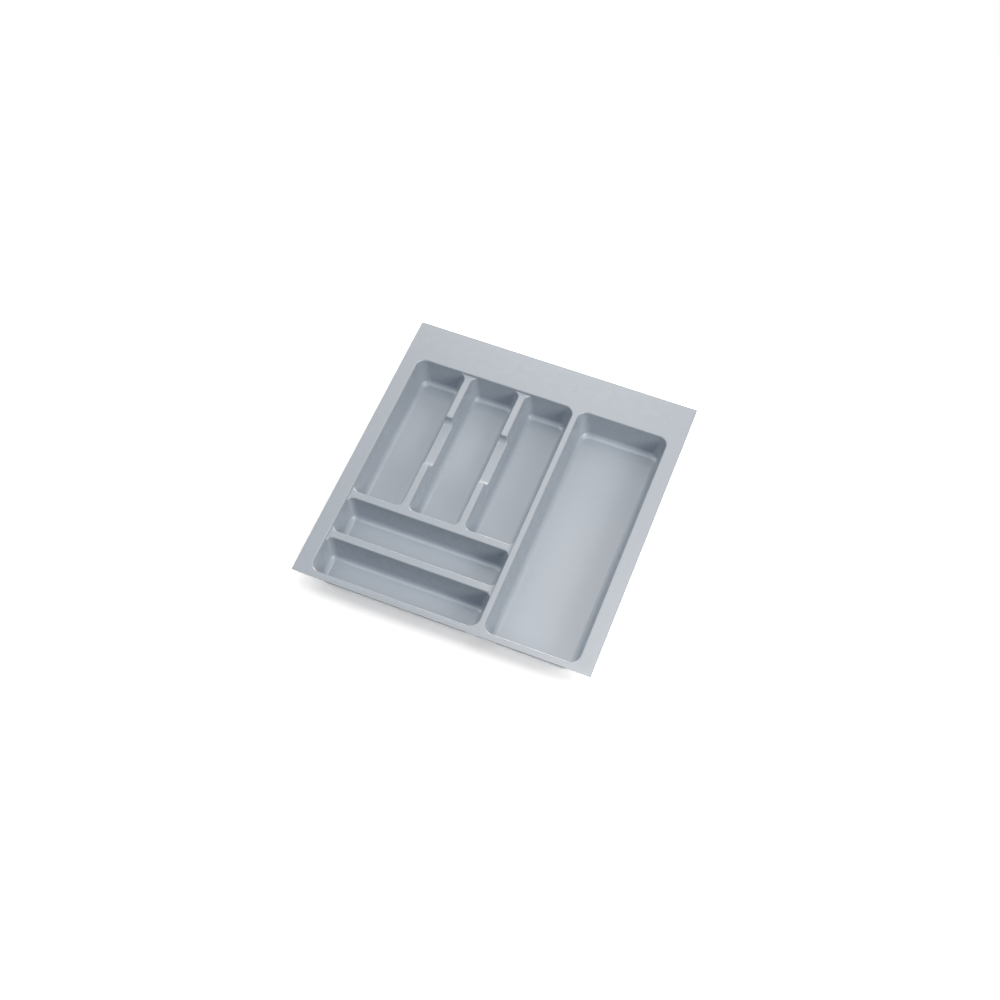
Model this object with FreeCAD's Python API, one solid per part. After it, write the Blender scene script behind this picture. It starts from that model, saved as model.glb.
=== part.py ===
import FreeCAD, Part
import math
import os
from typing import NamedTuple

# Cutlery tray for a drawer, formed from one plastic sheet, in millimetres.
# X runs to the right, Y to the wide margin at the back and Z up from the surface that the pans stand on.
# The origin is under the middle of the sheet's outline.

# Whole sheet
overall_width = 450.0
overall_length = 470.0
pan_depth = 44.5
sheet_thickness = 1.5

# Flat margins at deck level
side_flange_width = 23.5
back_flange_width = 65.0
front_rim_width = 10.0
centre_divider_width = 9.0

# Pans, and the dividers that stand a step below the deck
utensil_pan_width = 140.0
cross_pan_length = 60.2
long_divider_width = 10.5
cross_divider_width = 11.3
divider_step = 4.2

# Finger notches in the long dividers
notch_length = 88.0
notch_depth = 13.5
notch_floor_radius = 5.0

# Draft and radii of the forming, on the side that holds the cutlery
draft_degrees = 10.0
deck_corner_radius = 15.0
pan_corner_radius = 10.0
floor_radius = 9.0
lip_radius = 1.8

# How far a cutting block runs past what it cuts, and how close two faces are when they count as one
cut_overrun = 6.0
fit_tolerance = 0.001

# Heights
deck_top = pan_depth + sheet_thickness
divider_top = deck_top - divider_step
notch_land = divider_top - notch_depth
pan_floor = sheet_thickness

# A wall leans by the draft, so its run and its level thickness follow from the same angle
draft_slope = math.tan(math.radians(draft_degrees))
wall_offset = sheet_thickness / math.cos(math.radians(draft_degrees))
step_run = divider_step * draft_slope

# Places of the lips, from the outline inwards
left_lip = side_flange_width - overall_width / 2
right_lip = overall_width / 2 - side_flange_width
front_lip = front_rim_width - overall_length / 2
back_lip = overall_length / 2 - back_flange_width
utensil_left = right_lip - utensil_pan_width
group_right = utensil_left - centre_divider_width

cutlery_names = ("knife", "fork", "spoon")
divider_count = len(cutlery_names) - 1
cutlery_width = (group_right - left_lip - divider_count * long_divider_width) / len(cutlery_names)
cutlery_pitch = cutlery_width + long_divider_width

lower_cross_back = front_lip + cross_pan_length
upper_cross_front = lower_cross_back + cross_divider_width
upper_cross_back = upper_cross_front + cross_pan_length
cutlery_front = upper_cross_back + cross_divider_width

# Each named region of the sheet ends on a flat strip, this far outside the lip of its pan
region_margin = max(wall_offset, lip_radius)


class Plan(NamedTuple):
    """Rectangle seen from above."""

    left: float
    right: float
    front: float
    back: float

    def grown(self, by):
        """The same rectangle with every side moved outwards."""
        return Plan(self.left - by, self.right + by, self.front - by, self.back + by)

    def corners(self):
        """The four corner points, keyed by the two sides that meet there."""
        return {
            ("left", "front"): (self.left, self.front),
            ("right", "front"): (self.right, self.front),
            ("right", "back"): (self.right, self.back),
            ("left", "back"): (self.left, self.back),
        }


class Pan(NamedTuple):
    """One formed pan: its mouth, the height of its lip, and the sides whose wall rises to the deck."""

    mouth: Plan
    lip: float
    deck_sides: frozenset

    def rim(self):
        """Plan of the mouth at the lip's height, where walls that rise to the deck already lean in."""
        run = (deck_top - self.lip) * draft_slope
        lean = {side: run if side in self.deck_sides else 0 for side in Plan._fields}
        return Plan(
            self.mouth.left + lean["left"],
            self.mouth.right - lean["right"],
            self.mouth.front + lean["front"],
            self.mouth.back - lean["back"],
        )

    def corner_radii(self):
        """A corner between two walls that rise to the deck is wider than the others."""
        return {
            key: deck_corner_radius if set(key) <= self.deck_sides else pan_corner_radius
            for key in self.mouth.corners()
        }


ALL_SIDES = frozenset(Plan._fields)
recess = Plan(left_lip, group_right, front_lip, back_lip)
utensil = Plan(utensil_left, right_lip, front_lip, back_lip)


def cutlery_mouth(place):
    """Mouth of the knife, fork or spoon pan, counted from the left."""
    left = left_lip + place * cutlery_pitch
    return Plan(left, left + cutlery_width, cutlery_front, back_lip)


pans = {
    "upper_cross_pan": Pan(
        Plan(left_lip, group_right, upper_cross_front, upper_cross_back),
        divider_top,
        frozenset(("left", "right")),
    ),
    "lower_cross_pan": Pan(
        Plan(left_lip, group_right, front_lip, lower_cross_back),
        divider_top,
        frozenset(("left", "right", "front")),
    ),
    "utensil_pan": Pan(utensil, deck_top, ALL_SIDES),
}
outer_sides = (("left", "back"), ("back",), ("right", "back"))
for place, (name, sides) in enumerate(zip(cutlery_names, outer_sides)):
    pans[name + "_pan"] = Pan(cutlery_mouth(place), divider_top, frozenset(sides))


def block(plan, low, high):
    """Plain upright block."""
    corner = FreeCAD.Vector(plan.left, plan.front, low)
    return Part.makeBox(plan.right - plan.left, plan.back - plan.front, high - low, corner)


def polygon_face(points):
    """Flat face with straight sides."""
    return Part.Face(Part.makePolygon(points + points[:1]))


def flat_sided(upper_plan, upper, lower_plan, lower):
    """Solid with flat faces between a rectangle at one height and another below it."""
    high = [FreeCAD.Vector(x, y, upper) for x, y in upper_plan.corners().values()]
    deep = [FreeCAD.Vector(x, y, lower) for x, y in lower_plan.corners().values()]
    sides = [[high[i - 1], high[i], deep[i], deep[i - 1]] for i in range(len(high))]
    return Part.Solid(Part.Shell([polygon_face(points) for points in [high, deep] + sides]))


def level_edges(shape, height, within):
    """Edges that lie at one height inside a rectangle."""
    found = []
    for edge in shape.Edges:
        box = edge.BoundBox
        level = abs(box.ZMin - height) < fit_tolerance and abs(box.ZMax - height) < fit_tolerance
        across = box.XMin > within.left - fit_tolerance and box.XMax < within.right + fit_tolerance
        along = box.YMin > within.front - fit_tolerance and box.YMax < within.back + fit_tolerance
        if level and across and along:
            found.append(edge)
    return found


def leaning_edges(shape, corners):
    """Edges that run down from the given corner points."""
    found = []
    for edge in shape.Edges:
        ends = sorted((vertex.Point for vertex in edge.Vertexes), key=lambda point: point.z)
        if len(ends) == 2 and ends[1].z - ends[0].z > fit_tolerance:
            if any((ends[1] - corner).Length < fit_tolerance for corner in corners):
                found.append(edge)
    return found


def leaning_block(plan, top, low, radii):
    """Block whose walls lean in by the draft from top to low, with its leaning corners rounded."""
    run = (top - low) * draft_slope
    shape = flat_sided(plan, top, plan.grown(-run), low)
    for radius in sorted(set(radii.values()), reverse=True):
        corners = [
            FreeCAD.Vector(x, y, top)
            for key, (x, y) in plan.corners().items()
            if radii[key] == radius
        ]
        shape = shape.makeFillet(radius, leaning_edges(shape, corners))
    return shape


def pan_block(pan, skin):
    """Space inside a pan, or with a skin the space inside its outer surface."""
    level_skin = wall_offset * skin / sheet_thickness
    plan = pan.rim().grown(level_skin)
    low = pan_floor - skin
    radii = {key: radius + skin for key, radius in pan.corner_radii().items()}
    shape = leaning_block(plan, pan.lip, low, radii)
    return shape.makeFillet(floor_radius + skin, level_edges(shape, low, plan))


def with_lip(shape, plan, height, headroom):
    """Adds the free space above a mouth and rounds the lip between the two."""
    opened = block(plan.grown(cut_overrun), height, height + headroom).fuse(shape).removeSplitter()
    return opened.makeFillet(lip_radius, level_edges(opened, height, plan))


def whole_recess(skin):
    """The leaning recess that the group of five pans shares, carried down past the pan floors."""
    plan = recess.grown(wall_offset * skin / sheet_thickness)
    radii = {key: deck_corner_radius + skin for key in plan.corners()}
    return leaning_block(plan, deck_top, -cut_overrun, radii)


def recess_block(skin, low):
    """The shared recess from the deck down to a height."""
    plan = recess.grown(cut_overrun + wall_offset)
    return whole_recess(skin).common(block(plan, low, deck_top))


def notch_block(place, skin):
    """Finger notch through one long divider, as a bar across it with leaning ends."""
    middle = (cutlery_front + back_lip) / 2
    low = notch_land - skin
    level_skin = wall_offset * skin / sheet_thickness
    top_half = notch_length / 2 + step_run + level_skin
    low_half = top_half - (deck_top - low) * draft_slope
    reach = (divider_top - low) * draft_slope + cut_overrun
    left = cutlery_mouth(place).right - reach
    right = cutlery_mouth(place + 1).left + reach
    side = [(-top_half, deck_top), (top_half, deck_top), (low_half, low), (-low_half, low)]
    points = [FreeCAD.Vector(left, middle + along, height) for along, height in side]
    bar = polygon_face(points).extrude(FreeCAD.Vector(right - left, 0, 0))
    ends = Plan(left, right, middle - low_half, middle + low_half)
    feet = [edge for edge in level_edges(bar, low, ends) if edge.BoundBox.YLength < fit_tolerance]
    return bar.makeFillet(notch_floor_radius + skin, feet)


def space_above():
    """All the free space over the sheet that the forming pushes down."""
    shared = whole_recess(0)
    spaces = [with_lip(recess_block(0, divider_top), recess, deck_top, cut_overrun)]
    for pan in pans.values():
        opened = with_lip(pan_block(pan, 0), pan.rim(), pan.lip, cut_overrun)
        # A divider's lip ends where it meets a wall that rises to the deck
        spaces.append(opened if pan.lip == deck_top else opened.common(shared))
    spaces += [notch_block(place, 0) for place in range(divider_count)]
    return spaces


def space_inside_skin():
    """The deck plate and every formed space, grown by the sheet's thickness."""
    rim = Plan(-overall_width / 2, overall_width / 2, -overall_length / 2, overall_length / 2)
    spaces = [recess_block(sheet_thickness, divider_top - sheet_thickness)]
    spaces += [pan_block(pan, sheet_thickness) for pan in pans.values()]
    spaces += [notch_block(place, sheet_thickness) for place in range(divider_count)]
    plate = block(rim, deck_top - sheet_thickness, deck_top)
    return plate.fuse(spaces, fit_tolerance)


def named_regions():
    """Plan of each named region, which together cover the sheet once."""
    inner = recess.grown(region_margin)
    outer = utensil.grown(region_margin)
    half_width = overall_width / 2
    half_length = overall_length / 2
    regions = {
        "back_flange": Plan(-half_width, half_width, inner.back, half_length),
        "front_rim": Plan(-half_width, half_width, -half_length, inner.front),
        "left_flange": Plan(-half_width, inner.left, inner.front, inner.back),
        "right_flange": Plan(outer.right, half_width, inner.front, inner.back),
        "centre_divider": Plan(inner.right, outer.left, inner.front, inner.back),
    }
    for name, pan in pans.items():
        regions[name] = pan.mouth.grown(region_margin)
    for place in range(divider_count):
        before, after = cutlery_names[place], cutlery_names[place + 1]
        left, right = regions[before + "_pan"], regions[after + "_pan"]
        regions[f"{before}_{after}_divider"] = Plan(left.right, right.left, left.front, left.back)
    upper, lower = regions["upper_cross_pan"], regions["lower_cross_pan"]
    cutlery = regions["knife_pan"]
    regions["upper_cross_divider"] = Plan(upper.left, upper.right, upper.back, cutlery.front)
    regions["lower_cross_divider"] = Plan(upper.left, upper.right, lower.back, upper.front)
    return regions


os.makedirs("parts", exist_ok=True)
sheet = space_inside_skin().cut(space_above(), fit_tolerance)
for name, plan in named_regions().items():
    region = sheet.common(block(plan, -cut_overrun, deck_top + cut_overrun)).removeSplitter()
    solid = region.Solids[0]
    solid.exportStep(f"parts/{name}.step")
    print(name, len(region.Solids), solid.isValid(), round(solid.Volume, 1))
print("sheet", len(sheet.Solids), sheet.isValid(), round(sheet.Volume, 1))
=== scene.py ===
"""Cutlery tray for a drawer: one formed plastic sheet, built as its named regions.

Lengths are in metres. X runs to the right, Y to the wide margin at the back, and Z up from the
surface that the pans stand on.
"""

import logging
import math
from dataclasses import dataclass, field
from enum import Enum, IntEnum

import bmesh
import bpy
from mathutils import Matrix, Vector


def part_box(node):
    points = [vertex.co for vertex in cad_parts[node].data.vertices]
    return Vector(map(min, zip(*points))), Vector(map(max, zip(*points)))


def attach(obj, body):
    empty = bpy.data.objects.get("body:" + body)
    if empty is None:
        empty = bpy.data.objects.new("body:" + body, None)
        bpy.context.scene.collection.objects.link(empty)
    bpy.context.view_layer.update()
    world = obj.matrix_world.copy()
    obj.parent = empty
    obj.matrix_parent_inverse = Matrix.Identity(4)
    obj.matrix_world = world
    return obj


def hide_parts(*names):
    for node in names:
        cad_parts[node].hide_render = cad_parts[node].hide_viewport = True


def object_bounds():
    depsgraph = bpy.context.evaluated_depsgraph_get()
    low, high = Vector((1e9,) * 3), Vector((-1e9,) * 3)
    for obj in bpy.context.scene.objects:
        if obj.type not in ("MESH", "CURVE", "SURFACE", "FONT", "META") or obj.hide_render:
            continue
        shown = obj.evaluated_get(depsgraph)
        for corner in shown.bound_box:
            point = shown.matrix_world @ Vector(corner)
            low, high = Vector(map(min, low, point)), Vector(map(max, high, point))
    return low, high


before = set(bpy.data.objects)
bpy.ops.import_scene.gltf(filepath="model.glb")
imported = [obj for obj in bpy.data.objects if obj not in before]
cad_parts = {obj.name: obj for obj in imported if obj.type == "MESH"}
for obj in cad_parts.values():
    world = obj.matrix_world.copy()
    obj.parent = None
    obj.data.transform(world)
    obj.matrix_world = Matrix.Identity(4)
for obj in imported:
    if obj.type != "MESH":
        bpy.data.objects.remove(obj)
CAD_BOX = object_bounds()

LOG = logging.getLogger("cutlery_tray")
MM = 0.001
WELD = 0.001 * MM
BODY = "root"
QUARTER = math.pi / 2

CORNER_STEPS = 14
LIP_STEPS = 8
FLOOR_STEPS = 10
NOTCH_STEPS = 8


class Side(Enum):
    """Sides of a mouth, numbered as the forming tree numbers its straight stretches."""

    FRONT = 1
    RIGHT = 2
    BACK = 3
    LEFT = 4

    @property
    def axis(self) -> int:
        """Axis that this side faces along: 0 for X and 1 for Y."""
        return 0 if self in (Side.LEFT, Side.RIGHT) else 1

    @property
    def sign(self) -> int:
        """Direction that this side faces along its axis, seen from the middle."""
        return 1 if self in (Side.RIGHT, Side.BACK) else -1

    @property
    def outward(self) -> Vector:
        """Unit vector from the middle of a mouth to this side."""
        return Vector((self.sign, 0.0, 0.0) if self.axis == 0 else (0.0, self.sign, 0.0))


class FinishSlot(IntEnum):
    """Order of the finishes on each piece."""

    FORMED = 0
    CUT = 1


class Face(Enum):
    """The sheet's two faces."""

    UPPER = "holds the cutlery"
    UNDER = "stands on the drawer"


@dataclass(frozen=True)
class Plan:
    """Rectangle seen from above."""

    left: float
    right: float
    front: float
    back: float

    @classmethod
    def of_node(cls, node: str) -> "Plan":
        """Plan of a node's box.

        Args:
            node: Name of the node in the frame.

        Returns:
            The rectangle that the node fills, seen from above.
        """
        low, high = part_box(node)
        return cls(low.x, high.x, low.y, high.y)

    def at(self, side: Side) -> float:
        """Place of one side along its axis."""
        return getattr(self, side.name.lower())

    def grown(self, by: float) -> "Plan":
        """The same rectangle with every side moved outwards."""
        return Plan(self.left - by, self.right + by, self.front - by, self.back + by)


@dataclass(frozen=True)
class Forming:
    """Sizes that the mould gives the sheet, all over."""

    deck_top: float
    thickness: float = 1.5 * MM
    draft: float = math.radians(10.0)
    lip_radius: float = 1.8 * MM
    region_margin: float = 1.8 * MM
    floor_radius: float = 9.0 * MM
    deck_corner_radius: float = 15.0 * MM
    pan_corner_radius: float = 10.0 * MM
    divider_step: float = 4.2 * MM

    @property
    def slope(self) -> float:
        """How far a wall leans for each unit of height."""
        return math.tan(self.draft)

    @property
    def divider_top(self) -> float:
        """Height of the dividers, a step below the deck."""
        return self.deck_top - self.divider_step

    def skin(self, face: Face) -> float:
        """Thickness of sheet between the upper face and this one."""
        return 0.0 if face is Face.UPPER else self.thickness

    def level_skin(self, face: Face) -> float:
        """The same thickness measured level, through a leaning wall."""
        return self.skin(face) / math.cos(self.draft)

    def lip(self, face: Face) -> float:
        """Radius of the lips, which are sharp underneath."""
        return self.lip_radius if face is Face.UPPER else 0.0

    def turn_reach(self, radius: float) -> float:
        """How far a rounded lip reaches along the flat, from the edge that it rounds."""
        return radius * math.tan((QUARTER - self.draft) / 2)

    def toe_reach(self, radius: float) -> float:
        """How far a rounded foot reaches along the floor, from the corner that it fills."""
        return radius * (1 - math.sin(self.draft)) / math.cos(self.draft)

    def leans(self, steps: int) -> list[float]:
        """Angles of a rounding's rows, from the wall's lean to the flat's."""
        return [self.draft + step / steps * (QUARTER - self.draft) for step in range(steps + 1)]


@dataclass(frozen=True)
class SectionRow:
    """One row of a wall's section: how far it stands outside the wall, and its height."""

    outset: float
    height: float
    squared: bool = False


@dataclass(frozen=True)
class WallSection:
    """Sections through a mouth's lip, wall and foot, on one face of the sheet."""

    forming: Forming
    face: Face

    def border(self, height: float) -> list[SectionRow]:
        """Flat strip round a mouth at deck level, out to the square edge of its region.

        Args:
            height: Height of the deck.

        Returns:
            One square row.
        """
        forming = self.forming
        skin = forming.skin(self.face)
        outset = forming.region_margin - forming.level_skin(self.face) + skin * forming.slope
        return [SectionRow(outset, height - skin, True)]

    def lip(self, height: float) -> list[SectionRow]:
        """Rows over a lip, from the flat that it rounds down to its wall.

        Args:
            height: Height of the flat.

        Returns:
            The rows, or a single one where the lip is sharp.
        """
        radius = self.forming.lip(self.face)
        if not radius:
            return [SectionRow(0.0, height - self.forming.skin(self.face))]
        reach = self.forming.turn_reach(radius)
        rows = []
        for lean in reversed(self.forming.leans(LIP_STEPS)):
            drop = radius * (1 - math.sin(lean))
            outset = reach - radius * math.cos(lean) + drop * self.forming.slope
            rows.append(SectionRow(outset, height - drop))
        return rows

    def foot(self, height: float) -> list[SectionRow]:
        """Rows round the foot of a wall, from the wall in to the floor.

        Args:
            height: Height of the floor's upper face.

        Returns:
            The rows.
        """
        skin = self.forming.skin(self.face)
        radius = self.forming.floor_radius + skin
        reach = self.forming.toe_reach(radius)
        rows = []
        for lean in self.forming.leans(FLOOR_STEPS):
            rise = radius * (1 - math.sin(lean))
            inset = reach - radius * math.cos(lean) + rise * self.forming.slope
            rows.append(SectionRow(-inset, height - skin + rise))
        return rows

    def wall_end(self, height: float) -> list[SectionRow]:
        """Row where a wall stops at a height, with no foot."""
        return [SectionRow(0.0, height - self.forming.skin(self.face))]


class Field:
    """A value in a node tree, on which the usual sums make nodes."""

    def __init__(self, tree: bpy.types.NodeTree, socket: bpy.types.NodeSocket) -> None:
        """Wraps an output socket of the tree."""
        self.tree = tree
        self.socket = socket

    def math(self, operation: str, *others: "Field | float") -> "Field":
        """Adds a Math node.

        Args:
            operation: Name of the node's operation.
            others: The values after this one.

        Returns:
            The node's result.
        """
        node = self.tree.nodes.new("ShaderNodeMath")
        node.operation = operation
        for socket, value in zip(node.inputs, (self, *others)):
            feed(self.tree, socket, value)
        return Field(self.tree, node.outputs[0])

    def __add__(self, other: "Field | float") -> "Field":
        """Sum of two values."""
        return self.math("ADD", other)

    def __sub__(self, other: "Field | float") -> "Field":
        """Difference of two values."""
        return self.math("SUBTRACT", other)

    def __rsub__(self, other: float) -> "Field":
        """Plain number less this value."""
        return (self * -1.0).math("ADD", other)

    def __mul__(self, other: "Field | float") -> "Field":
        """Product of two values."""
        return self.math("MULTIPLY", other)

    def __truediv__(self, other: "Field | float") -> "Field":
        """Quotient of two values."""
        return self.math("DIVIDE", other)

    def pick(self, yes: "Field", no: "Field") -> "Field":
        """One of two values, where this value is 1 for the first and 0 for the second."""
        return no + self * (yes - no)


def feed(tree: bpy.types.NodeTree, socket: bpy.types.NodeSocket, value: object) -> None:
    """Links a value to an input socket, or sets it there.

    Args:
        tree: Tree that holds the socket.
        socket: Input to feed.
        value: Field, output socket or plain value.
    """
    if isinstance(value, Field):
        tree.links.new(value.socket, socket)
    elif isinstance(value, bpy.types.NodeSocket):
        tree.links.new(value, socket)
    else:
        socket.default_value = value


def add_node(
    tree: bpy.types.NodeTree, kind: str, settings: dict | None = None, **inputs: object
) -> bpy.types.Node:
    """Adds a node with its settings and inputs.

    Args:
        tree: Tree that gets the node.
        kind: Type name of the node.
        settings: Properties of the node, set before its inputs.
        inputs: Values by socket name, with underscores for spaces.

    Returns:
        The new node.
    """
    node = tree.nodes.new(kind)
    for name, value in (settings or {}).items():
        setattr(node, name, value)
    for name, value in inputs.items():
        label = name.replace("_", " ")
        socket = next(item for item in node.inputs if item.name == label and item.enabled)
        feed(tree, socket, value)
    return node


def empty_tree(holder: bpy.types.Material | bpy.types.World) -> bpy.types.NodeTree:
    """Clears the shader tree of a material or a world.

    Args:
        holder: The material or world.

    Returns:
        Its tree, with no nodes.
    """
    holder.use_nodes = True
    holder.node_tree.nodes.clear()
    return holder.node_tree


def add_object(name: str, data: bpy.types.ID) -> bpy.types.Object:
    """Adds an object to the scene.

    Args:
        name: Name of the object.
        data: Its mesh, lamp or camera.

    Returns:
        The new object.
    """
    made = bpy.data.objects.new(name, data)
    bpy.context.scene.collection.objects.link(made)
    return made


def plain_mesh(shape: bpy.types.Object) -> bpy.types.Mesh:
    """Turns an object and its modifiers into a plain mesh.

    Args:
        shape: Object with live modifiers.

    Returns:
        A new mesh with all its layers.
    """
    depsgraph = bpy.context.evaluated_depsgraph_get()
    live = shape.evaluated_get(depsgraph)
    return bpy.data.meshes.new_from_object(live, preserve_all_data_layers=True, depsgraph=depsgraph)


def direction(around: float, above: float) -> Vector:
    """Unit vector at two angles.

    Args:
        around: Angle seen from above, from the right side towards the back.
        above: Angle over the floor.

    Returns:
        The vector.
    """
    level = math.cos(above)
    return Vector((math.cos(around) * level, math.sin(around) * level, math.sin(above)))


class FormingTree:
    """Geometry Nodes tree that carries a wall's section round a mouth with leaning, rounded corners."""

    CORNERS = 4
    LENGTHS = ("Left", "Right", "Front", "Back", "Rim Height", "Slope")
    RADII = ("Front Left Radius", "Front Right Radius", "Back Right Radius", "Back Left Radius")
    LIPS = {side: f"{side.name.title()} Lip" for side in Side}
    SIDE_MARK = "straight_side"
    MIDDLE_CORNER = 1.5
    RIGHT_REACH = 0.75
    HALF_STEP = 0.5

    def __init__(self) -> None:
        """Builds the tree once."""
        self.tree = bpy.data.node_groups.new("formed_mouth", "GeometryNodeTree")
        self.sockets: dict[str, str] = {}
        self._add_interface()
        self._add_nodes()

    def _add_interface(self) -> None:
        """Names the tree's inputs and output."""
        face = self.tree.interface
        face.new_socket("Section", in_out="INPUT", socket_type="NodeSocketGeometry")
        kinds = dict.fromkeys((*self.LENGTHS, *self.RADII, *self.LIPS.values()), "NodeSocketFloat")
        kinds.update({"Corner Steps": "NodeSocketInt", "Finish": "NodeSocketMaterial"})
        for name, kind in kinds.items():
            self.sockets[name] = face.new_socket(name, in_out="INPUT", socket_type=kind).identifier
        face.new_socket("Formed", in_out="OUTPUT", socket_type="NodeSocketGeometry")

    def _add_nodes(self) -> None:
        """Lays a grid of section rows by steps round the mouth, and bends it into place."""
        tree = self.tree
        given = tree.nodes.new("NodeGroupInput").outputs
        value = {name: Field(tree, given[name]) for name in self.sockets if name != "Finish"}
        size = add_node(tree, "GeometryNodeAttributeDomainSize", Geometry=given["Section"])
        rows = Field(tree, size.outputs["Point Count"])
        per_corner = value["Corner Steps"] + 1.0
        columns = per_corner * float(self.CORNERS)
        grid = add_node(tree, "GeometryNodeMeshGrid", Vertices_X=columns + 1.0, Vertices_Y=rows)
        index = Field(tree, tree.nodes.new("GeometryNodeInputIndex").outputs[0])

        place = add_node(tree, "GeometryNodeInputPosition")
        sample = add_node(
            tree,
            "GeometryNodeSampleIndex",
            {"data_type": "FLOAT_VECTOR"},
            Geometry=given["Section"],
            Value=place.outputs[0],
            Index=index.math("MODULO", rows),
        )
        row = add_node(tree, "ShaderNodeSeparateXYZ", Vector=sample.outputs[0]).outputs
        column = (index / rows).math("FLOOR").math("MODULO", columns)
        point = self._ring_point(value, column, per_corner, [Field(tree, item) for item in row])

        bent = add_node(tree, "GeometryNodeSetPosition", Geometry=grid.outputs["Mesh"], Position=point)
        marked = self._mark_sides(bent.outputs[0], index, rows - 1.0, per_corner)
        closed = add_node(tree, "GeometryNodeMergeByDistance", Geometry=marked, Distance=WELD)
        real = add_node(tree, "GeometryNodeRealizeInstances", Geometry=closed.outputs[0])
        dressed = add_node(
            tree, "GeometryNodeSetMaterial", Geometry=real.outputs[0], Material=given["Finish"]
        )
        tree.links.new(dressed.outputs[0], tree.nodes.new("NodeGroupOutput").inputs[0])

    def _ring_point(
        self, value: dict[str, Field], column: Field, per_corner: Field, row: list[Field]
    ) -> bpy.types.NodeSocket:
        """Place of one grid point.

        Args:
            value: The tree's inputs by name.
            column: Step round the mouth, from the left wall at the front.
            per_corner: Steps in each corner.
            row: Outset, square mark and height of the section's row.

        Returns:
            Socket with the point's place.
        """
        outset, squared, height = row
        slope = value["Slope"]
        corner = (column / per_corner).math("FLOOR")
        share = (column - corner * per_corner) / value["Corner Steps"]

        # Corners count from 0 at the front left, by the front right and the back right
        right = corner.math("COMPARE", self.MIDDLE_CORNER, self.RIGHT_REACH)
        back = corner.math("GREATER_THAN", self.MIDDLE_CORNER)
        turned = corner.math("MODULO", 2.0).pick(1.0 - share, share)

        # A corner's own sizes, with its two walls and whether each ends there in a lip
        radius = back.pick(
            right.pick(value["Back Right Radius"], value["Back Left Radius"]),
            right.pick(value["Front Right Radius"], value["Front Left Radius"]),
        )
        lip_x = right.pick(value["Right Lip"], value["Left Lip"])
        lip_y = back.pick(value["Back Lip"], value["Front Lip"])
        run = (value["Rim Height"] - height) * slope
        wall_x = right.pick(value["Right"] - run, value["Left"] + run)
        wall_y = back.pick(value["Back"] - run, value["Front"] + run)
        reach = radius * (slope * slope + 1.0).math("SQRT")

        # A lip that meets a taller wall stops where its row reaches that wall
        outside = outset.math("MAXIMUM", 0.0) * lip_x.math("MAXIMUM", lip_y)
        offset = outside + outset.math("MINIMUM", 0.0)
        stop = (reach / (reach + outside)).math("ARCCOSINE")
        first = (1.0 - lip_x) * lip_y * stop
        last = QUARTER - (1.0 - lip_y) * lip_x * stop
        angle = first + turned * (last - first)
        across, along = angle.math("COSINE"), angle.math("SINE")

        # Level cut through a leaning round corner, then the row's own offset
        lean = slope * (across + along)
        stretch = radius / (lean * lean + 1.0).math("SQRT")
        square = (reach + offset) / across.math("MAXIMUM", along)
        local = []
        for part, lip in ((across, lip_x), (along, lip_y)):
            rounded = stretch * (part + slope * lean) + offset * part
            held = lip.pick(rounded, rounded.math("MINIMUM", reach))
            local.append(squared.pick(part * square, held) - reach)
        x = wall_x + (right * 2.0 - 1.0) * local[0]
        y = wall_y + (back * 2.0 - 1.0) * local[1]
        return add_node(self.tree, "ShaderNodeCombineXYZ", X=x, Y=y, Z=height).outputs[0]

    def _mark_sides(
        self, geometry: bpy.types.NodeSocket, index: Field, rows: Field, per_corner: Field
    ) -> bpy.types.NodeSocket:
        """Numbers the faces of each straight side from 1, and leaves the corners at 0.

        Args:
            geometry: Grid of faces.
            index: Index of a face.
            rows: Faces in one column.
            per_corner: Steps in each corner.

        Returns:
            Socket with the marked grid.
        """
        column = (index / rows).math("FLOOR")
        corner = (column / per_corner).math("FLOOR")
        straight = (column - corner * per_corner).math("COMPARE", per_corner - 1.0, self.HALF_STEP)
        stored = add_node(
            self.tree,
            "GeometryNodeStoreNamedAttribute",
            {"data_type": "INT", "domain": "FACE"},
            Geometry=geometry,
            Name=self.SIDE_MARK,
            Value=straight * (corner + 1.0),
        )
        return stored.outputs[0]

    def form(
        self, section: list[SectionRow], sizes: dict[str, float], finish: bpy.types.Material
    ) -> bpy.types.Mesh:
        """Forms one mouth.

        Args:
            section: Rows of the wall's section, from the outside in.
            sizes: Values for the tree's named inputs.
            finish: Material of the sheet.

        Returns:
            Plain mesh of one face of the sheet, open at its first and last rows.
        """
        profile = bpy.data.meshes.new("wall_section")
        profile.from_pydata([(row.outset, float(row.squared), row.height) for row in section], [], [])
        carrier = add_object("formed_mouth", profile)
        modifier = carrier.modifiers.new("Forming", "NODES")
        modifier.node_group = self.tree
        for name, size in sizes.items():
            modifier[self.sockets[name]] = size
        modifier[self.sockets["Corner Steps"]] = CORNER_STEPS
        modifier[self.sockets["Finish"]] = finish
        formed = plain_mesh(carrier)
        bpy.data.objects.remove(carrier)
        bpy.data.meshes.remove(profile)
        return formed


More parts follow.
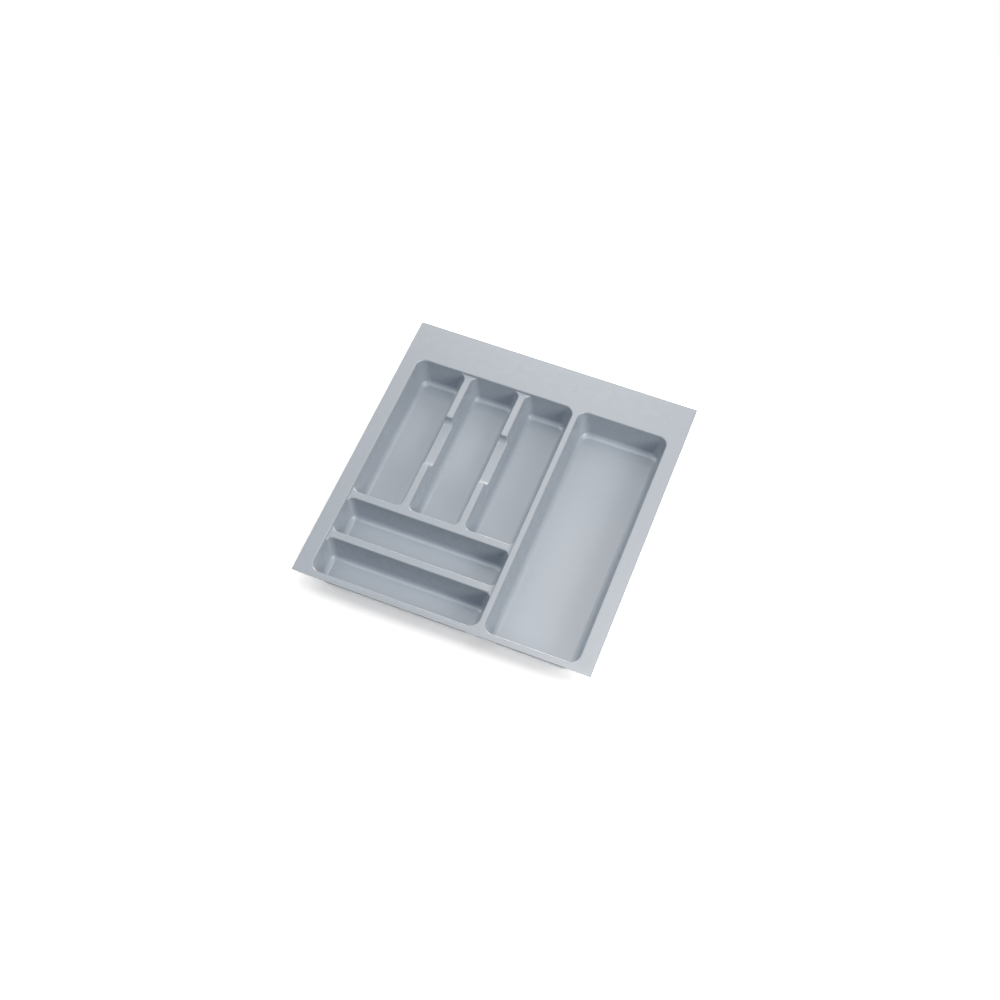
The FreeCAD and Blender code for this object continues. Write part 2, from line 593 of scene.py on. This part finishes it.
class Patchwork:
    """One face of the sheet, or a whole region, collected from patches that are welded at the end."""

    def __init__(self) -> None:
        """Starts empty."""
        self.mesh = bmesh.new()

    def take(self, made: bpy.types.Mesh) -> None:
        """Adds a plain mesh and removes it."""
        self.mesh.from_mesh(made)
        bpy.data.meshes.remove(made)

    def polygon(self, points: list[Vector]) -> None:
        """Adds one face."""
        self.mesh.faces.new([self.mesh.verts.new(point) for point in points])

    def strip(self, columns: list[list[Vector]]) -> None:
        """Adds the faces between columns of points.

        Args:
            columns: Lines of equally many points, side by side.
        """
        for one, two in zip(columns, columns[1:]):
            for a, b, c, d in zip(one, one[1:], two[1:], two):
                self.polygon([a, b, c, d])

    def weld(self) -> None:
        """Joins the corners that meet."""
        bmesh.ops.remove_doubles(self.mesh, verts=self.mesh.verts[:], dist=WELD)

    def open_edges(self) -> list[bmesh.types.BMEdge]:
        """Edges that have a face on one side only."""
        return [edge for edge in self.mesh.edges if edge.is_boundary]

    def stitch(self) -> None:
        """Splits each open edge where a corner of another patch lies on it, and joins them."""
        self.weld()
        edges = self.open_edges()
        corners = {vert for edge in edges for vert in edge.verts}
        for edge in edges:
            start, end = edge.verts
            line = end.co - start.co
            length = line.length
            found = []
            for vert in corners - {start, end}:
                along = (vert.co - start.co).dot(line) / length
                if 0 < along < length and (start.co + line * (along / length) - vert.co).length < WELD:
                    found.append((along, vert.co.copy()))
            for _, place in sorted(found, key=lambda item: item[0]):
                part = (place - start.co).length / (end.co - start.co).length
                _, start = bmesh.utils.edge_split(edge, start, part)
                start.co = place
        self.weld()

    def fill_level(self, height: float) -> None:
        """Closes the open loops at one height with flat faces.

        Args:
            height: Height of the loops.
        """
        level = [
            edge for edge in self.open_edges() if all(abs(vert.co.z - height) < WELD for vert in edge.verts)
        ]
        bmesh.ops.edgeloop_fill(self.mesh, edges=level)

    def cut(self, plan: Plan) -> "Patchwork":
        """Part of this patchwork inside a rectangle.

        Args:
            plan: Rectangle to keep.

        Returns:
            A new patchwork.
        """
        part = Patchwork()
        part.mesh.free()
        part.mesh = self.mesh.copy()
        for side in Side:
            point = side.outward * (plan.at(side) * side.sign)
            whole = part.mesh.verts[:] + part.mesh.edges[:] + part.mesh.faces[:]
            bmesh.ops.bisect_plane(
                part.mesh, geom=whole, dist=WELD, plane_co=point, plane_no=side.outward, clear_outer=True
            )
        return part

    def border_line(self, side: Side, place: float) -> list[Vector]:
        """Open corners along one straight side.

        Args:
            side: Side of the region.
            place: Place of that side along its axis.

        Returns:
            The corners in order.
        """
        found = {
            vert
            for edge in self.open_edges()
            if all(abs(vert.co[side.axis] - place) < WELD for vert in edge.verts)
            for vert in edge.verts
        }
        return sorted((vert.co.copy() for vert in found), key=lambda point: point[1 - side.axis])

    def add(self, other: "Patchwork") -> None:
        """Adds another patchwork's faces.

        Args:
            other: Patchwork to copy.
        """
        made = bpy.data.meshes.new("patch")
        other.mesh.to_mesh(made)
        self.take(made)


@dataclass(frozen=True)
class Pan:
    """One formed pan: its mouth, and the sides whose wall rises to the deck."""

    mouth: Plan
    deck_sides: frozenset[Side]
    rim_height: float
    forming: Forming

    def rim(self) -> Plan:
        """Mouth at the rim's height, where walls that rise to the deck already lean in.

        Returns:
            The rectangle of the walls at that height.
        """
        run = (self.forming.deck_top - self.rim_height) * self.forming.slope
        places = {side: self.mouth.at(side) - side.sign * run * (side in self.deck_sides) for side in Side}
        return Plan(places[Side.LEFT], places[Side.RIGHT], places[Side.FRONT], places[Side.BACK])

    def corner_radius(self, *sides: Side) -> float:
        """Radius of the corner between two sides, wider where both rise to the deck."""
        deck = self.deck_sides.issuperset(sides)
        return self.forming.deck_corner_radius if deck else self.forming.pan_corner_radius

    def sizes(self, face: Face, lips: frozenset[Side]) -> dict[str, float]:
        """Values for the forming tree.

        Args:
            face: Face of the sheet.
            lips: Sides that end in a lip at the rim.

        Returns:
            Value of each named input.
        """
        plan = self.rim().grown(self.forming.level_skin(face))
        skin = self.forming.skin(face)
        radii = (
            self.corner_radius(Side.FRONT, Side.LEFT),
            self.corner_radius(Side.FRONT, Side.RIGHT),
            self.corner_radius(Side.BACK, Side.RIGHT),
            self.corner_radius(Side.BACK, Side.LEFT),
        )
        lengths = (plan.left, plan.right, plan.front, plan.back, self.rim_height, self.forming.slope)
        sizes = dict(zip(FormingTree.LENGTHS, lengths))
        sizes.update((name, radius + skin) for name, radius in zip(FormingTree.RADII, radii))
        sizes.update((name, float(side in lips)) for side, name in FormingTree.LIPS.items())
        return sizes


@dataclass(frozen=True)
class NotchStation:
    """One line across a divider: its place along it, its height and the lean of the surface there."""

    along: float
    height: float
    normal: Vector


@dataclass(frozen=True)
class FingerNotch:
    """Dip in a long divider, where fingers reach the cutlery on both sides."""

    middle: float
    forming: Forming
    length: float = 88.0 * MM
    depth: float = 13.5 * MM
    foot_radius: float = 11.0 * MM
    shoulder_radius: float = 2.2 * MM

    def stations(self, face: Face) -> list[NotchStation]:
        """Lines across the divider from the front shoulder to the back one.

        Args:
            face: Face of the sheet.

        Returns:
            Stations over the front half, then over the back half.
        """
        forming = self.forming
        skin = forming.skin(face)
        land = forming.divider_top - self.depth - skin
        half = self.length / 2 + forming.level_skin(face)
        foot = self.foot_radius + skin
        centre = half - (forming.divider_top - land) * forming.slope - forming.toe_reach(foot)
        found = []
        for lean in reversed(forming.leans(NOTCH_STEPS)):
            normal = Vector((0.0, -math.cos(lean), math.sin(lean)))
            rise = foot * (1 - math.sin(lean))
            found.append(NotchStation(centre + foot * math.cos(lean), land + rise, normal))
        shoulder = self.shoulder_radius - skin
        centre = half - skin * forming.slope + forming.turn_reach(shoulder)
        for lean in forming.leans(NOTCH_STEPS):
            normal = Vector((0.0, -math.cos(lean), math.sin(lean)))
            drop = skin + shoulder * (1 - math.sin(lean))
            along = centre - shoulder * math.cos(lean)
            found.append(NotchStation(along, forming.divider_top - drop, normal))
        front = [
            NotchStation(self.middle - item.along, item.height, item.normal * Vector((1.0, -1.0, 1.0)))
            for item in reversed(found)
        ]
        back = [NotchStation(self.middle + item.along, item.height, item.normal) for item in found]
        return front + back

    def edge_rows(self, station: NotchStation, face: Face, wall: float, side: Side) -> list[Vector]:
        """Rows over the edge between the divider's top and one pan's wall.

        Args:
            station: Line across the divider.
            face: Face of the sheet.
            wall: Place of the wall at the dividers' height.
            side: Side of the pan that the wall is on.

        Returns:
            Points from the divider's top down to the wall.
        """
        forming = self.forming
        radius = forming.lip(face)
        inwards = side.sign * (forming.divider_top - station.height) * forming.slope
        edge = Vector((wall - inwards, station.along, station.height))
        if not radius:
            return [edge]
        top = station.normal
        out = Vector((-side.sign * math.cos(forming.draft), 0.0, math.sin(forming.draft)))
        turn = top.angle(out)
        back = (top * top.dot(out) - out).normalized()
        centre = edge + back * (radius * math.tan(turn / 2)) - top * radius
        rows = []
        for step in range(LIP_STEPS + 1):
            share = step / LIP_STEPS
            direction = top * math.sin((1 - share) * turn) + out * math.sin(share * turn)
            rows.append(centre + direction * (radius / math.sin(turn)))
        return rows

    def carve(self, pan: Patchwork, face: Face, wall: float, side: Side) -> list[Vector]:
        """Rebuilds one straight side of a pan with the notch in it.

        Args:
            pan: One face of the pan.
            face: Face of the sheet.
            wall: Place of the side's wall at the dividers' height.
            side: Side to rebuild.

        Returns:
            The edge of the divider's top along the notch.
        """
        mesh = pan.mesh
        mark = mesh.faces.layers.int[FormingTree.SIDE_MARK]
        foot = self.forming.thickness + self.forming.floor_radius
        straight = [item for item in mesh.faces if item[mark] == side.value]
        plain = [item for item in straight if item.calc_center_median().z > foot]
        corners = {vert for item in plain for vert in item.verts}
        ends = []
        for sign in (-1, 1):
            column = [vert.co.copy() for vert in corners if (vert.co.y - self.middle) * sign > 0]
            ends.append(sorted(column, key=lambda point: -point.z))
        bmesh.ops.delete(mesh, geom=plain, context="FACES")
        columns = [self.edge_rows(station, face, wall, side) for station in self.stations(face)]
        ordered = [ends[0][:-1], *columns, ends[1][:-1]]
        pan.strip(ordered)
        pan.polygon([column[-1] for column in ordered] + [ends[1][-1], ends[0][-1]])
        pan.weld()
        return [column[0] for column in columns]


@dataclass(frozen=True)
class PlasticFinish:
    """Formed plastic with a fine satin grain.

    Attributes:
        name: Name of the material.
        colour: Linear base colour.
        roughness: Middle of the roughness range.
        mottle: How much the shade drifts over the sheet, as a share.
        grain_size: Size of the grain.
        grain_height: Depth of the grain.
        painted_lip_highlight: How much lighter the rounded lips are painted, as a share: a painted
            highlight along the lips.
        gloss: Strength of the surface's gloss, where 0.5 is plain plastic.
    """

    REFRACTION = 1.49

    name: str
    colour: tuple[float, float, float]
    roughness: float
    mottle: float
    grain_size: float
    grain_height: float
    painted_lip_highlight: float
    gloss: float

    def material(self, grain: "GrainGroup") -> bpy.types.Material:
        """Builds the material.

        Args:
            grain: Shared grain of formed plastic.

        Returns:
            The material.
        """
        made = bpy.data.materials.new(self.name)
        tree = empty_tree(made)
        place = add_node(tree, "ShaderNodeTexCoord").outputs["Object"]
        surface = add_node(
            tree,
            "ShaderNodeGroup",
            {"node_tree": grain.tree},
            Place=place,
            Colour=(*self.colour, 1.0),
            Mottle=self.mottle,
            Roughness=self.roughness,
            Grain_Size=self.grain_size,
            Edge_Shift=self.painted_lip_highlight,
        ).outputs
        bump = add_node(
            tree, "ShaderNodeBump", Strength=1.0, Distance=self.grain_height, Height=surface["Height"]
        )
        shader = add_node(
            tree,
            "ShaderNodeBsdfPrincipled",
            Base_Color=surface["Shade"],
            Roughness=surface["Roughness"],
            Normal=bump.outputs[0],
            IOR=self.REFRACTION,
            Specular_IOR_Level=self.gloss,
        )
        out = tree.nodes.new("ShaderNodeOutputMaterial")
        tree.links.new(shader.outputs[0], out.inputs["Surface"])
        return made


class GrainGroup:
    """Shader group for formed plastic: slow drifts of shade, a fine grain, and a painted highlight that
    makes the lips paler.
    """

    EDGE_MARK = "lip_share"
    DRIFT_SCALE = 9.0
    DRIFT_DETAIL = 3.0
    CLOUD_SCALE = 55.0
    FINE_DETAIL = 2.0
    NOISE_MEAN = 0.5
    CLOUD_SHADE = 0.5
    GRAIN_SHADE = 0.05
    CLOUD_ROUGHNESS = 0.04
    GRAIN_ROUGHNESS = 0.12
    LIP_POLISH = 0.05

    def __init__(self) -> None:
        """Builds the group once."""
        self.tree = bpy.data.node_groups.new("formed_plastic_grain", "ShaderNodeTree")
        tree = self.tree
        inputs = {
            "Place": "NodeSocketVector",
            "Colour": "NodeSocketColor",
            "Mottle": "NodeSocketFloat",
            "Roughness": "NodeSocketFloat",
            "Grain Size": "NodeSocketFloat",
            "Edge Shift": "NodeSocketFloat",
        }
        for name, kind in inputs.items():
            tree.interface.new_socket(name, in_out="INPUT", socket_type=kind)
        for name, kind in {"Shade": "Color", "Roughness": "Float", "Height": "Float"}.items():
            tree.interface.new_socket(name, in_out="OUTPUT", socket_type=f"NodeSocket{kind}")
        given = tree.nodes.new("NodeGroupInput").outputs
        drift = self._noise(given["Place"], self.DRIFT_SCALE, self.DRIFT_DETAIL)
        cloud = self._noise(given["Place"], self.CLOUD_SCALE, self.FINE_DETAIL)
        fineness = Field(tree, given["Grain Size"]).math("POWER", -1.0)
        grain = self._noise(given["Place"], fineness, self.FINE_DETAIL)
        lips = add_node(tree, "ShaderNodeAttribute", {"attribute_name": self.EDGE_MARK})
        edge = Field(tree, lips.outputs["Fac"])

        middle = self.NOISE_MEAN * (1.0 + self.CLOUD_SHADE)
        speck = grain - self.NOISE_MEAN
        spread = (drift + cloud * self.CLOUD_SHADE - middle) * Field(tree, given["Mottle"])
        # The lips marked by lip_share are painted lighter here: a painted highlight along the rounded
        # edges.
        level = spread + 1.0 + edge * Field(tree, given["Edge Shift"]) + speck * self.GRAIN_SHADE
        shade = add_node(
            tree, "ShaderNodeVectorMath", {"operation": "SCALE"}, Vector=given["Colour"], Scale=level
        )
        rough = Field(tree, given["Roughness"]) + (cloud - self.NOISE_MEAN) * self.CLOUD_ROUGHNESS
        rough = rough + speck * self.GRAIN_ROUGHNESS - edge * self.LIP_POLISH
        out = tree.nodes.new("NodeGroupOutput").inputs
        tree.links.new(shade.outputs[0], out["Shade"])
        feed(tree, out["Roughness"], rough)
        feed(tree, out["Height"], grain)

    def _noise(self, place: bpy.types.NodeSocket, scale: "Field | float", detail: float) -> Field:
        """Noise over the sheet at one scale."""
        node = add_node(self.tree, "ShaderNodeTexNoise", Vector=place, Scale=scale, Detail=detail)
        return Field(self.tree, node.outputs[0])


@dataclass
class PieceMaker:
    """Turns a finished patchwork into a piece of the object.

    Attributes:
        finishes: Materials in the order of FinishSlot.
        crease: Smallest angle of an edge that stays sharp.
        full_lip: Angle at which an edge is wholly a lip.
    """

    finishes: list[bpy.types.Material]
    crease: float = math.radians(24.0)
    full_lip: float = math.radians(6.0)

    def piece(self, node: str, made: bmesh.types.BMesh) -> None:
        """Dresses a closed mesh and lets it stand for its node.

        Args:
            node: Node that the piece stands for.
            made: Closed mesh, which is freed.
        """
        bmesh.ops.recalc_face_normals(made, faces=made.faces[:])
        loose = sum(not edge.is_manifold for edge in made.edges)
        # Convex edges mark the lips, which the finish paints lighter as a painted highlight and makes
        # glossier.
        lips = made.verts.layers.float.new(GrainGroup.EDGE_MARK)
        for edge in made.edges:
            angle = edge.calc_face_angle_signed(0.0)
            edge.smooth = abs(angle) < self.crease
            if edge.smooth and angle > 0:
                for vert in edge.verts:
                    vert[lips] = max(vert[lips], min(1.0, angle / self.full_lip))
        for item in made.faces:
            item.smooth = True
        mesh = bpy.data.meshes.new(f"formed_{node}")
        made.to_mesh(mesh)
        made.free()
        for finish in self.finishes:
            mesh.materials.append(finish)
        shape = add_object(f"formed_{node}", mesh)
        self._weigh_normals(shape)
        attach(shape, BODY)
        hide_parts(node)
        LOG.info("%s: %d faces, %d open edges", shape.name, len(shape.data.polygons), loose)

    def _weigh_normals(self, shape: bpy.types.Object) -> None:
        """Lets large flats hold their normals where they run into a rounding.

        Args:
            shape: Piece whose mesh gets the normals.
        """
        modifier = shape.modifiers.new("Weighted normals", "WEIGHTED_NORMAL")
        modifier.mode = "FACE_AREA"
        modifier.keep_sharp = True
        plain = plain_mesh(shape)
        before = shape.data
        shape.modifiers.remove(modifier)
        shape.data = plain
        bpy.data.meshes.remove(before)
        plain.name = shape.name


def closed_region(upper: Patchwork, under: Patchwork, plan: Plan) -> bmesh.types.BMesh:
    """Joins the two faces of a region with walls round its edge.

    Args:
        upper: Upper face of the region.
        under: Under face of the region.
        plan: Rectangle of the region.

    Returns:
        Closed mesh.
    """
    walls = []
    for side in Side:
        top = upper.border_line(side, plan.at(side))
        low = under.border_line(side, plan.at(side))
        walls.append(top + low[::-1])
    upper.add(under)
    for wall in walls:
        upper.polygon(wall)
    upper.weld()
    for item in upper.mesh.faces:
        item.material_index = FinishSlot.FORMED
    return upper.mesh


@dataclass
class UtensilPan:
    """The wide pan on the right, whose walls all rise to the deck."""

    forming: Forming
    tree: FormingTree
    finish: bpy.types.Material
    node: str = "utensil_pan"

    def face(self, face: Face, pan: Pan) -> Patchwork:
        """One face of the pan, out to the edge of its region.

        Args:
            face: Face of the sheet.
            pan: The pan's mouth and height.

        Returns:
            Patchwork that is open only round its outer edge.
        """
        section = WallSection(self.forming, face)
        deck = self.forming.deck_top
        rows = section.border(deck) + section.lip(deck) + section.foot(self.forming.thickness)
        made = Patchwork()
        made.take(self.tree.form(rows, pan.sizes(face, frozenset(Side)), self.finish))
        made.fill_level(rows[-1].height)
        return made

    def build(self, maker: PieceMaker) -> None:
        """Builds the pan as one piece.

        Args:
            maker: Maker of pieces.
        """
        region = Plan.of_node(self.node)
        mouth = region.grown(-self.forming.region_margin)
        pan = Pan(mouth, frozenset(Side), self.forming.deck_top, self.forming)
        upper, under = self.face(Face.UPPER, pan), self.face(Face.UNDER, pan)
        maker.piece(self.node, closed_region(upper, under, region))


@dataclass
class CutleryGroup:
    """The sunken group on the left: five pans, and the dividers that stand a step below the deck."""

    forming: Forming
    tree: FormingTree
    finish: bpy.types.Material
    deck_sides: dict[str, frozenset[Side]] = field(
        default_factory=lambda: {
            "knife_pan": frozenset((Side.LEFT, Side.BACK)),
            "fork_pan": frozenset((Side.BACK,)),
            "spoon_pan": frozenset((Side.RIGHT, Side.BACK)),
            "upper_cross_pan": frozenset((Side.LEFT, Side.RIGHT)),
            "lower_cross_pan": frozenset((Side.LEFT, Side.RIGHT, Side.FRONT)),
        }
    )
    notched: tuple[tuple[str, str], ...] = (("knife_pan", "fork_pan"), ("fork_pan", "spoon_pan"))
    dividers: tuple[str, ...] = (
        "knife_fork_divider",
        "fork_spoon_divider",
        "upper_cross_divider",
        "lower_cross_divider",
    )

    def pans(self) -> dict[str, Pan]:
        """Works out the five pans.

        Returns:
            The pans by node.
        """
        margin = self.forming.region_margin
        return {
            node: Pan(Plan.of_node(node).grown(-margin), sides, self.forming.divider_top, self.forming)
            for node, sides in self.deck_sides.items()
        }

    def step(self, face: Face, pans: dict[str, Pan]) -> bpy.types.Mesh:
        """Wall round the whole group, from the deck down to the dividers.

        Args:
            face: Face of the sheet.
            pans: The group's pans by node.

        Returns:
            Plain mesh of the wall.
        """
        mouths = [pan.mouth for pan in pans.values()]
        plan = Plan(
            min(mouth.left for mouth in mouths),
            max(mouth.right for mouth in mouths),
            min(mouth.front for mouth in mouths),
            max(mouth.back for mouth in mouths),
        )
        whole = Pan(plan, frozenset(Side), self.forming.deck_top, self.forming)
        section = WallSection(self.forming, face)
        deck = self.forming.deck_top
        rows = section.border(deck) + section.lip(deck) + section.wall_end(self.forming.divider_top)
        return self.tree.form(rows, whole.sizes(face, frozenset(Side)), self.finish)

    def face(self, face: Face) -> Patchwork:
        """One face of the whole group.

        Args:
            face: Face of the sheet.

        Returns:
            Patchwork that is open only round its outer edge.
        """
        forming = self.forming
        pans = self.pans()
        section = WallSection(forming, face)
        rows = section.lip(forming.divider_top) + section.foot(forming.thickness)
        formed = {}
        for node, pan in pans.items():
            lips = frozenset(Side) - pan.deck_sides
            formed[node] = Patchwork()
            formed[node].take(self.tree.form(rows, pan.sizes(face, lips), self.finish))
        group = Patchwork()
        group.take(self.step(face, pans))
        skin = forming.level_skin(face)
        for left, right in self.notched:
            one, two = pans[left].mouth, pans[right].mouth
            notch = FingerNotch((one.front + one.back) / 2, forming)
            near = notch.carve(formed[left], face, one.right + skin, Side.RIGHT)
            far = notch.carve(formed[right], face, two.left - skin, Side.LEFT)
            group.strip([list(pair) for pair in zip(near, far)])
        for made in formed.values():
            group.add(made)
        group.stitch()
        group.fill_level(forming.divider_top - forming.skin(face))
        group.fill_level(rows[-1].height)
        return group

    def build(self, maker: PieceMaker) -> None:
        """Forms the group once, and parts it where its regions meet.

        Args:
            maker: Maker of pieces.
        """
        upper, under = self.face(Face.UPPER), self.face(Face.UNDER)
        for node in (*self.deck_sides, *self.dividers):
            region = Plan.of_node(node)
            maker.piece(node, closed_region(upper.cut(region), under.cut(region), region))


@dataclass
class TrimMargin:
    """Flat margins at deck level, with the outer edge as it was cut to fit the drawer."""

    UPRIGHT_LIMIT = 0.5
    ROUND_PROFILE = 0.5

    outline: Plan
    cut_round: float = 0.3 * MM
    round_steps: int = 2
    nodes: tuple[str, ...] = ("back_flange", "front_rim", "left_flange", "right_flange", "centre_divider")

    def build(self, maker: PieceMaker) -> None:
        """Builds each margin as one piece."""
        for node in self.nodes:
            maker.piece(node, self.plate(node))

    def plate(self, node: str) -> bmesh.types.BMesh:
        """Flat plate whose cut edges are slightly rounded.

        Args:
            node: Node that the plate fills.

        Returns:
            Closed mesh.
        """
        low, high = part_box(node)
        made = bmesh.new()
        bmesh.ops.create_cube(made, size=1.0)
        for vert in made.verts:
            vert.co = Vector(low[i] if vert.co[i] < 0 else high[i] for i in range(3))
        cut = [edge for edge in made.edges if self.is_cut(edge)]
        bmesh.ops.bevel(
            made,
            geom=cut,
            offset=self.cut_round,
            segments=self.round_steps,
            profile=self.ROUND_PROFILE,
            affect="EDGES",
        )
        made.normal_update()
        for item in made.faces:
            upright = abs(item.normal.z) < self.UPRIGHT_LIMIT
            is_cut = upright and self.on_outline(item.calc_center_median())
            item.material_index = FinishSlot.CUT if is_cut else FinishSlot.FORMED
        return made

    def on_outline(self, point: Vector) -> bool:
        """Whether a point lies on the sheet's outline."""
        return any(abs(point[side.axis] - self.outline.at(side)) < WELD for side in Side)

    def is_cut(self, edge: bmesh.types.BMEdge) -> bool:
        """Whether an edge lies on the sheet's outline, along it."""
        return self.on_outline((edge.verts[0].co + edge.verts[1].co) / 2)


@dataclass(frozen=True)
class Softbox:
    """Square lamp that looks at the tray from one direction.

    Attributes:
        name: Name of the lamp.
        azimuth: Direction seen from above, in degrees from the right side towards the back.
        elevation: Height over the floor, in degrees.
        power: Strength of the lamp.
        warmth: How much more red and less blue its light is, as a share.
        distance: Distance from the middle of the tray.
        size: Width of the lamp.
    """

    name: str
    azimuth: float
    elevation: float
    power: float
    warmth: float
    distance: float = 2.6
    size: float = 0.9

    def build(self) -> None:
        """Adds the lamp."""
        data = bpy.data.lights.new(self.name, "AREA")
        data.shape = "SQUARE"
        data.size = self.size
        data.energy = self.power
        data.color = (1.0 + self.warmth, 1.0, 1.0 - self.warmth)
        lamp = add_object(self.name, data)
        towards = direction(math.radians(self.azimuth), math.radians(self.elevation))
        lamp.location = towards * self.distance
        lamp.rotation_euler = towards.to_track_quat("Z", "Y").to_euler()


@dataclass
class Studio:
    """White floor, soft light and the camera.

    Attributes:
        focus: Point that the camera looks at.
        distance: Distance of the camera from it.
        azimuth: Turn of the camera from the front to the right.
        elevation: Height of the camera as an angle.
        lens: Focal length in millimetres.
        floor_half: Half the floor's width.
        floor_gap: How far the floor lies below the pans.
        floor_shade: Grey of the floor for the light that it throws back.
        floor_white: Shade of the floor where it is seen, at which its lit part is white.
        lamps: The lamps.
    """

    focus: tuple[float, float, float] = (7.23 * MM, -20.92 * MM, 46.0 * MM)
    distance: float = 2226.8 * MM
    azimuth: float = math.radians(21.72)
    elevation: float = math.radians(59.10)
    lens: float = 55.25
    floor_half: float = 1.2
    floor_gap: float = 0.05 * MM
    floor_shade: float = 0.8
    floor_white: float = 1.75
    lamps: tuple[Softbox, ...] = (
        Softbox("overhead", 72.0, 74.0, 10.8, 0.03),
        Softbox("right", 0.0, 54.0, 8.7, 0.0),
        Softbox("right_low", 0.0, 33.0, 10.1, 0.07),
        Softbox("right_front", 330.0, 33.0, 22.9, 0.06),
        Softbox("left", 180.0, 54.0, 9.4, 0.03),
        Softbox("left_low", 180.0, 33.0, 5.5, 0.0),
        Softbox("back_high", 108.0, 54.0, 2.8, 0.02),
        Softbox("back", 97.0, 33.0, 9.9, 0.05),
        Softbox("back_low", 90.0, 12.0, 32.2, 0.17),
        Softbox("front", 252.0, 54.0, 2.3, -0.2),
        Softbox("front_high", 216.0, 74.0, 3.9, 0.03),
    )

    def build(self) -> None:
        """Sets up the floor, the light and the camera."""
        bpy.context.scene.view_settings.view_transform = "Standard"
        self.floor()
        self.world()
        for lamp in self.lamps:
            lamp.build()
        self.camera()

    def seen(self, tree: bpy.types.NodeTree) -> Field:
        """Tells rays that show the background from those that light things.

        Args:
            tree: Shader tree of the floor or the world.

        Returns:
            1 where the background is seen, straight, through something or in a gloss, and 0 elsewhere.
        """
        path = add_node(tree, "ShaderNodeLightPath").outputs
        names = ("Is Camera Ray", "Is Glossy Ray", "Is Transmission Ray")
        camera, gloss, through = (Field(tree, path[name]) for name in names)
        return camera.math("MAXIMUM", gloss).math("MAXIMUM", through)

    def floor(self) -> None:
        """White floor that keeps the tray's shadow, and is clear from below."""
        half = self.floor_half
        mesh = bpy.data.meshes.new("floor")
        corners = [(-half, -half), (half, -half), (half, half), (-half, half)]
        mesh.from_pydata([(x, y, -self.floor_gap) for x, y in corners], [], [(0, 1, 2, 3)])
        made = bpy.data.materials.new("floor_white")
        tree = empty_tree(made)
        seen = self.seen(tree)
        shade = seen * (self.floor_white - self.floor_shade) + self.floor_shade
        matt = add_node(tree, "ShaderNodeBsdfDiffuse", Color=shade)
        clear = tree.nodes.new("ShaderNodeBsdfTransparent")
        mix = tree.nodes.new("ShaderNodeMixShader")
        behind = tree.nodes.new("ShaderNodeNewGeometry").outputs["Backfacing"]
        tree.links.new(behind, mix.inputs[0])
        tree.links.new(matt.outputs[0], mix.inputs[1])
        tree.links.new(clear.outputs[0], mix.inputs[2])
        out = tree.nodes.new("ShaderNodeOutputMaterial")
        tree.links.new(mix.outputs[0], out.inputs["Surface"])
        mesh.materials.append(made)
        floor = add_object("floor", mesh)

    def world(self) -> None:
        """White surroundings, which are seen and mirrored but give no light."""
        world = bpy.data.worlds.new("studio")
        bpy.context.scene.world = world
        tree = empty_tree(world)
        white = (1.0, 1.0, 1.0, 1.0)
        back = add_node(tree, "ShaderNodeBackground", Color=white, Strength=self.seen(tree))
        out = tree.nodes.new("ShaderNodeOutputWorld")
        tree.links.new(back.outputs[0], out.inputs["Surface"])

    def camera(self) -> None:
        """Camera at the viewing angle."""
        data = bpy.data.cameras.new("camera")
        data.lens = self.lens
        camera = add_object("camera", data)
        back = direction(self.azimuth - QUARTER, self.elevation)
        camera.location = Vector(self.focus) + back * self.distance
        camera.rotation_euler = (-back).to_track_quat("-Z", "Y").to_euler()
        bpy.context.scene.camera = camera


SATIN = PlasticFinish(
    name="satin_plastic",
    colour=(0.370, 0.422, 0.484),
    roughness=0.30,
    mottle=0.015,
    grain_size=0.9 * MM,
    grain_height=0.02 * MM,
    painted_lip_highlight=0.04,
    gloss=1.0,
)
CUT_EDGE = PlasticFinish(
    name="cut_plastic_edge",
    colour=(0.46, 0.49, 0.53),
    roughness=0.68,
    mottle=0.08,
    grain_size=0.4 * MM,
    grain_height=0.05 * MM,
    painted_lip_highlight=0.0,
    gloss=0.5,
)


def main() -> None:
    """Builds the tray and its studio."""
    logging.basicConfig(level=logging.INFO, format="%(name)s: %(message)s")
    low, high = CAD_BOX
    forming = Forming(deck_top=high.z)
    grain = GrainGroup()
    satin, cut_edge = SATIN.material(grain), CUT_EDGE.material(grain)
    maker = PieceMaker([satin, cut_edge])
    tree = FormingTree()
    CutleryGroup(forming, tree, satin).build(maker)
    UtensilPan(forming, tree, satin).build(maker)
    TrimMargin(Plan(low.x, high.x, low.y, high.y)).build(maker)
    Studio().build()


if __name__ == "__main__":
    main()
